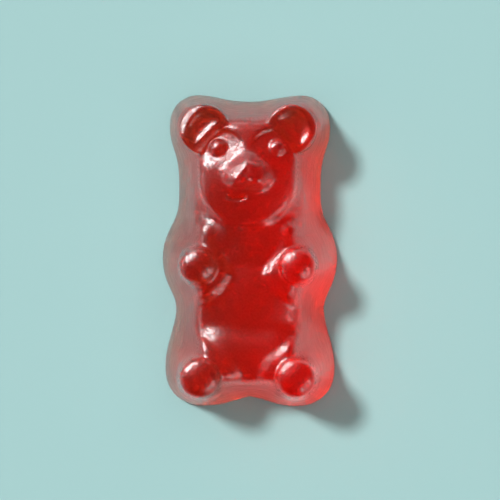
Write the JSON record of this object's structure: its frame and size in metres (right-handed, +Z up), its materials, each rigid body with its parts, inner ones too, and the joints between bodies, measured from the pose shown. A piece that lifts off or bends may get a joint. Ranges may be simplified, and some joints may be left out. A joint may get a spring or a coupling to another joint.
{
  "type": "gummy bear",
  "caption": "Small translucent red gummy sweet moulded as a bear that lies on its flat back, with round ears, snout, belly, paws and feet in relief",
  "frame": {"origin": "centre of the flat back that the sweet lies on", "axes": "+Y towards the top of the head, +Z up out of the belly and face, +X towards the bear's own left"},
  "size_m": [0.0122, 0.0219, 0.0086],
  "materials": {
    "red_gel": "soft satin, oiled translucent gel"
  },
  "bodies": {
    "root": {"gummy_bear": "red_gel"}
  },
  "joints": []
}
